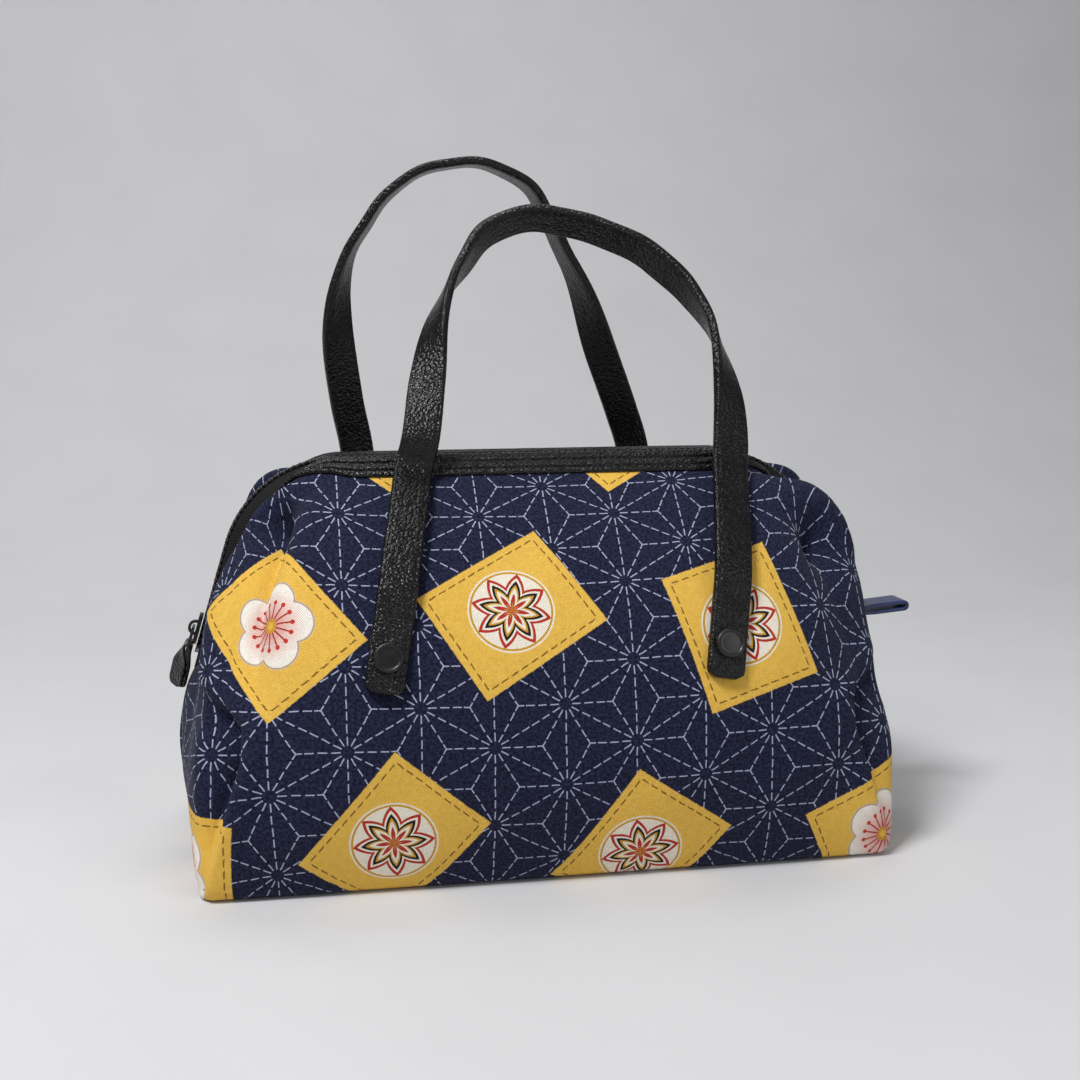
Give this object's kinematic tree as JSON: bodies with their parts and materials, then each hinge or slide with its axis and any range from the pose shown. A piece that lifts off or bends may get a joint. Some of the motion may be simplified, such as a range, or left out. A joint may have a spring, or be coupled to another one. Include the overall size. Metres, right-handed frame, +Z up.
{
  "type": "bento bag",
  "caption": "Small soft zip-top lunch bag of printed cotton on a flat base, with a zip over the top and down both ends and riveted leatherette strap handles.",
  "frame": {"origin": "middle of the underside of the base panel, on the surface the bag stands on", "axes": "+Z up, +X along the bag's length towards the finger tab, +Y from the front panel to the back panel"},
  "size_m": [0.2942, 0.1444, 0.2648],
  "materials": {
    "printed_cotton": "plain-weave navy cotton, printed",
    "lining_cloth": "plain dark lining cloth",
    "base_board": "plain stiffening board",
    "black_leatherette": "semi-gloss pebble grain",
    "navy_leatherette": "glossy smooth",
    "zip_tape": "woven black tape",
    "zip_nylon": "moulded black nylon",
    "black_metal": "black paint, semi-gloss",
    "plain_metal": "plain plated steel"
  },
  "bodies": {
    "bag": {"front_panel": "printed_cotton", "back_panel": "printed_cotton", "base_panel": "printed_cotton", "front_lining": "lining_cloth", "back_lining": "lining_cloth", "base_lining": "lining_cloth", "base_board": "base_board", "front_zip_tape": "zip_tape", "back_zip_tape": "zip_tape", "front_zip_teeth": "zip_nylon", "back_zip_teeth": "zip_nylon", "front_trim": "black_leatherette", "back_trim": "black_leatherette", "front_left_strap_end": "black_leatherette", "front_right_strap_end": "black_leatherette", "back_left_strap_end": "black_leatherette", "back_right_strap_end": "black_leatherette", "front_left_rivet_cap": "black_metal", "front_right_rivet_cap": "black_metal", "back_left_rivet_cap": "black_metal", "back_right_rivet_cap": "black_metal", "front_left_rivet_back": "plain_metal", "front_right_rivet_back": "plain_metal", "back_left_rivet_back": "plain_metal", "back_right_rivet_back": "plain_metal", "left_zip_stop": "plain_metal", "right_zip_stop": "plain_metal", "finger_tab": "navy_leatherette"},
    "front_handle": {"front_handle": "black_leatherette"},
    "back_handle": {"back_handle": "black_leatherette"},
    "zip_slider": {"slider_top_plate": "black_metal", "slider_bottom_plate": "black_metal"},
    "zip_pull": {"pull_loop": "black_metal", "pull_tab": "black_leatherette"}
  },
  "joints": [
    {"name": "front_handle_fold", "type": "hinge", "parent": "bag", "child": "front_handle", "pos_m": [0, -0.06394, 0.09407], "axis": [1, 0, 0], "range_deg": [0, 145]},
    {"name": "back_handle_fold", "type": "hinge", "parent": "bag", "child": "back_handle", "pos_m": [0, 0.06394, 0.09407], "axis": [-1, 0, 0], "range_deg": [0, 120]},
    {"name": "zip_slide", "type": "slide", "parent": "bag", "child": "zip_slider", "axis": [0.2924, 0, 0.9563], "range_m": [0, 0.027]},
    {"name": "pull_flip", "type": "hinge", "parent": "zip_slider", "child": "zip_pull", "pos_m": [-0.12898, 0, 0.08497], "axis": [0, 1, 0], "range_deg": [0, 160]}
  ]
}
